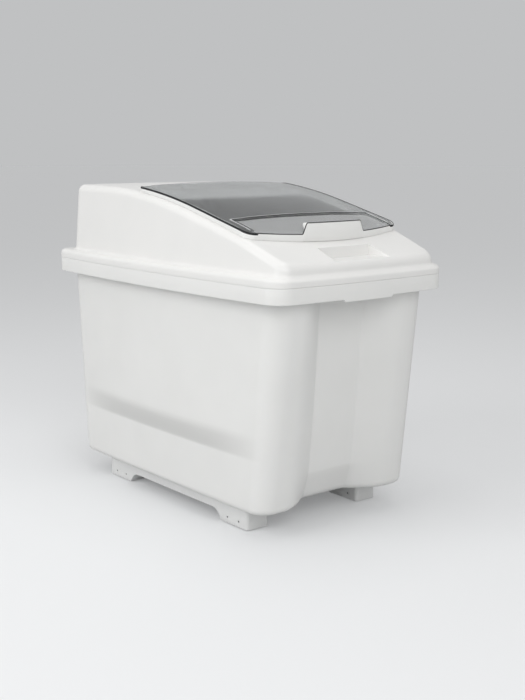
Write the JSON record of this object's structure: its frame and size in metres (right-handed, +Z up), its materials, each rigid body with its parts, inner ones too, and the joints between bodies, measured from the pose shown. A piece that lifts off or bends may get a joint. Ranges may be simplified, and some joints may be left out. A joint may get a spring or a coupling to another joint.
{
  "type": "rolling ingredient bin",
  "caption": "Tapered white flour bin on low roller rails, with a lift-off sloping hood and a clear smoked domed lid hinged over its scoop opening",
  "frame": {"origin": "on the floor, under the middle of the tub's rim", "axes": "+Z up, -Y to the front where the lid's handle is, +X to the bin's right as seen from its front"},
  "size_m": [0.436, 0.754, 0.6184],
  "materials": {
    "tub_plastic": "satin, slightly translucent white polyethylene",
    "hood_plastic": "satin opaque white polyethylene",
    "lid_plastic": "clear smoked polycarbonate, polished",
    "rail_plastic": "satin off-white moulded plastic",
    "roller_plastic": "turned grey plastic",
    "pin_steel": "drawn stainless steel"
  },
  "bodies": {
    "bin": {"tub": "tub_plastic", "rail_left": "rail_plastic", "rail_right": "rail_plastic", "rail_screws_left": "pin_steel", "rail_screws_right": "pin_steel", "axle_pin_left_1": "pin_steel", "axle_pin_left_2": "pin_steel", "axle_pin_left_3": "pin_steel", "axle_pin_left_4": "pin_steel", "axle_pin_right_1": "pin_steel", "axle_pin_right_2": "pin_steel", "axle_pin_right_3": "pin_steel", "axle_pin_right_4": "pin_steel"},
    "hood": {"hood": "hood_plastic", "hinge_pin_left": "pin_steel", "hinge_pin_right": "pin_steel"},
    "lid": {"lid": "lid_plastic"},
    "roller_left_1": {"roller_left_1": "roller_plastic"},
    "roller_left_2": {"roller_left_2": "roller_plastic"},
    "roller_left_3": {"roller_left_3": "roller_plastic"},
    "roller_left_4": {"roller_left_4": "roller_plastic"},
    "roller_right_1": {"roller_right_1": "roller_plastic"},
    "roller_right_2": {"roller_right_2": "roller_plastic"},
    "roller_right_3": {"roller_right_3": "roller_plastic"},
    "roller_right_4": {"roller_right_4": "roller_plastic"}
  },
  "joints": [
    {"name": "hood_lift", "type": "slide", "parent": "bin", "child": "hood", "axis": [0, 0, 1], "range_m": [0, 0.2]},
    {"name": "lid_hinge", "type": "hinge", "parent": "hood", "child": "lid", "pos_m": [0, 0.081, 0.60922], "axis": [-1, 0, 0], "range_deg": [0, 105]},
    {"name": "roll_left_1", "type": "hinge", "parent": "bin", "child": "roller_left_1", "pos_m": [-0.136, -0.2105, 0.0125], "axis": [1, 0, 0], "continuous": true},
    {"name": "roll_left_2", "type": "hinge", "parent": "bin", "child": "roller_left_2", "pos_m": [-0.136, -0.176, 0.0125], "axis": [1, 0, 0], "continuous": true},
    {"name": "roll_left_3", "type": "hinge", "parent": "bin", "child": "roller_left_3", "pos_m": [-0.136, 0.176, 0.0125], "axis": [1, 0, 0], "continuous": true},
    {"name": "roll_left_4", "type": "hinge", "parent": "bin", "child": "roller_left_4", "pos_m": [-0.136, 0.2105, 0.0125], "axis": [1, 0, 0], "continuous": true},
    {"name": "roll_right_1", "type": "hinge", "parent": "bin", "child": "roller_right_1", "pos_m": [0.136, -0.2105, 0.0125], "axis": [1, 0, 0], "continuous": true},
    {"name": "roll_right_2", "type": "hinge", "parent": "bin", "child": "roller_right_2", "pos_m": [0.136, -0.176, 0.0125], "axis": [1, 0, 0], "continuous": true},
    {"name": "roll_right_3", "type": "hinge", "parent": "bin", "child": "roller_right_3", "pos_m": [0.136, 0.176, 0.0125], "axis": [1, 0, 0], "continuous": true},
    {"name": "roll_right_4", "type": "hinge", "parent": "bin", "child": "roller_right_4", "pos_m": [0.136, 0.2105, 0.0125], "axis": [1, 0, 0], "continuous": true}
  ]
}
